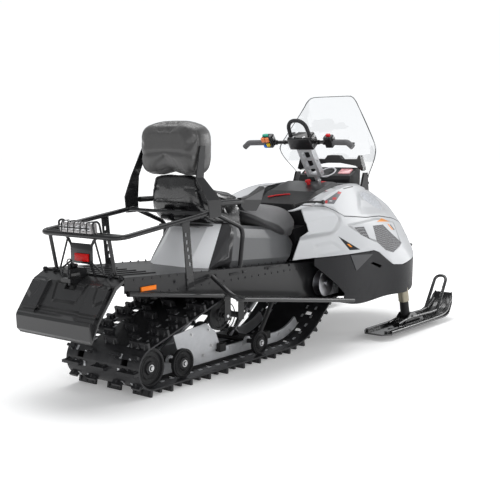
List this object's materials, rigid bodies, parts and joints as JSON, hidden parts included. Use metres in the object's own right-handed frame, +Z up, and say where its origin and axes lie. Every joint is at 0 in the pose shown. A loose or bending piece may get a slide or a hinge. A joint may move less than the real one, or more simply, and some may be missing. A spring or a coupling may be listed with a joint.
{
  "type": "snowmobile",
  "caption": "Two-seat utility touring snowmobile with a ribbed rubber track, twin skis, rear luggage rack, backrest and clear windshield.",
  "frame": {"origin": "on the floor below the middle of the bounding box", "axes": "+X forward, towards the ski tips; +Y to the rider's left; +Z up"},
  "size_m": [3.09, 1.096, 1.49],
  "materials": {
    "arm_metal": "satin",
    "base_grey": "satin",
    "body_white": "gloss",
    "console_black": "satin",
    "deck_black": "satin",
    "engine_metal": "cast",
    "flap_plastic": "grained",
    "frame_black": "satin",
    "grip_black": "matt",
    "grip_grey": "matt",
    "insert_black": "satin",
    "lamp_clear": "clear",
    "lamp_red": "gloss",
    "mesh_black": "matt",
    "pad_grey": "matt vinyl",
    "pan_plastic": "satin",
    "rail_metal": "satin",
    "reflector_amber": "gloss",
    "reflector_red": "gloss",
    "riser_metal": "satin",
    "screen_black": "gloss",
    "screen_clear": "clear",
    "seat_black": "glossy vinyl",
    "seat_grey": "satin vinyl",
    "shock_metal": "satin",
    "ski_black": "gloss",
    "slider_plastic": "matt",
    "spindle_black": "satin",
    "strut_metal": "satin",
    "switch_black": "satin",
    "track_rubber": "matt",
    "wheel_black": "satin"
  },
  "bodies": {
    "chassis": {"backrest_frame": "frame_black", "backrest_pad": "pad_grey", "base_insert": "insert_black", "belly_pan": "pan_plastic", "carrier_wheels": "wheel_black", "console": "console_black", "drive_axle": "wheel_black", "driven_pulley": "shock_metal", "driver_seat": "seat_grey", "engine_block": "engine_metal", "front_bumper": "frame_black", "front_fascia": "body_white", "front_idler_wheels": "wheel_black", "grab_handle_left": "frame_black", "grab_handle_right": "frame_black", "headlamps": "lamp_clear", "hood": "body_white", "instrument_pod": "console_black", "luggage_rack": "frame_black", "passenger_seat": "seat_black", "plate_bracket": "frame_black", "rail_sliders": "slider_plastic", "rear_idler_wheels": "wheel_black", "rear_reflector": "reflector_red", "running_board_left": "frame_black", "running_board_right": "frame_black", "seat_base": "base_grey", "second_idler_wheels": "wheel_black", "shock_absorbers": "shock_metal", "side_reflectors": "reflector_amber", "slide_rails": "rail_metal", "snow_flap": "flap_plastic", "steering_frame": "frame_black", "strut_left": "strut_metal", "strut_right": "strut_metal", "suspension_arms": "arm_metal", "tail_cowl": "body_white", "tail_lamp": "lamp_red", "toe_guards": "pan_plastic", "tow_hitch": "frame_black", "track": "track_rubber", "tunnel": "deck_black", "windshield": "screen_clear", "windshield_mounts": "frame_black", "windshield_visor": "screen_black"},
    "handlebar_body": {"steering_riser": "riser_metal", "handlebar": "frame_black", "hand_grips": "grip_grey", "grab_loop": "grip_black", "switch_blocks": "switch_black", "control_levers": "frame_black"},
    "spindle_right_body": {"spindle_right": "spindle_black"},
    "spindle_left_body": {"spindle_left": "spindle_black"},
    "ski_right_body": {"ski_right": "ski_black"},
    "ski_left_body": {"ski_left": "ski_black"},
    "panel_right_body": {"side_panel_right": "body_white", "grille_right": "mesh_black"},
    "panel_left_body": {"side_panel_left": "body_white", "grille_left": "mesh_black"}
  },
  "joints": [
    {"name": "handlebar_steer", "type": "hinge", "parent": "chassis", "child": "handlebar_body", "pos_m": [0.592, 0, 0.994], "axis": [-0.5878, 0, 0.809], "range_deg": [-30, 30]},
    {"name": "spindle_right_steer", "type": "hinge", "parent": "chassis", "child": "spindle_right_body", "pos_m": [0.943, -0.45, 0.196], "axis": [-0.2419, 0, 0.9703], "range_deg": [-27, 27]},
    {"name": "ski_right_pitch", "type": "hinge", "parent": "spindle_right_body", "child": "ski_right_body", "pos_m": [0.99, -0.45, 0.092], "axis": [0, 1, 0], "range_deg": [-10, 10]},
    {"name": "spindle_left_steer", "type": "hinge", "parent": "chassis", "child": "spindle_left_body", "pos_m": [0.943, 0.45, 0.196], "axis": [-0.2419, 0, 0.9703], "range_deg": [-27, 27]},
    {"name": "ski_left_pitch", "type": "hinge", "parent": "spindle_left_body", "child": "ski_left_body", "pos_m": [0.99, 0.45, 0.092], "axis": [0, 1, 0], "range_deg": [-10, 10]},
    {"name": "side_panel_right_open", "type": "hinge", "parent": "chassis", "child": "panel_right_body", "pos_m": [1.139, -0.3374, 0.6005], "axis": [0, 0.5, 0.866], "range_deg": [0, 55]},
    {"name": "side_panel_left_open", "type": "hinge", "parent": "chassis", "child": "panel_left_body", "pos_m": [1.139, 0.3374, 0.6005], "axis": [0, 0.5, -0.866], "range_deg": [0, 55]}
  ],
  "couplings": [
    {"joint": "spindle_right_steer", "follows": "handlebar_steer", "ratio": 0.85},
    {"joint": "spindle_left_steer", "follows": "handlebar_steer", "ratio": 0.85}
  ]
}
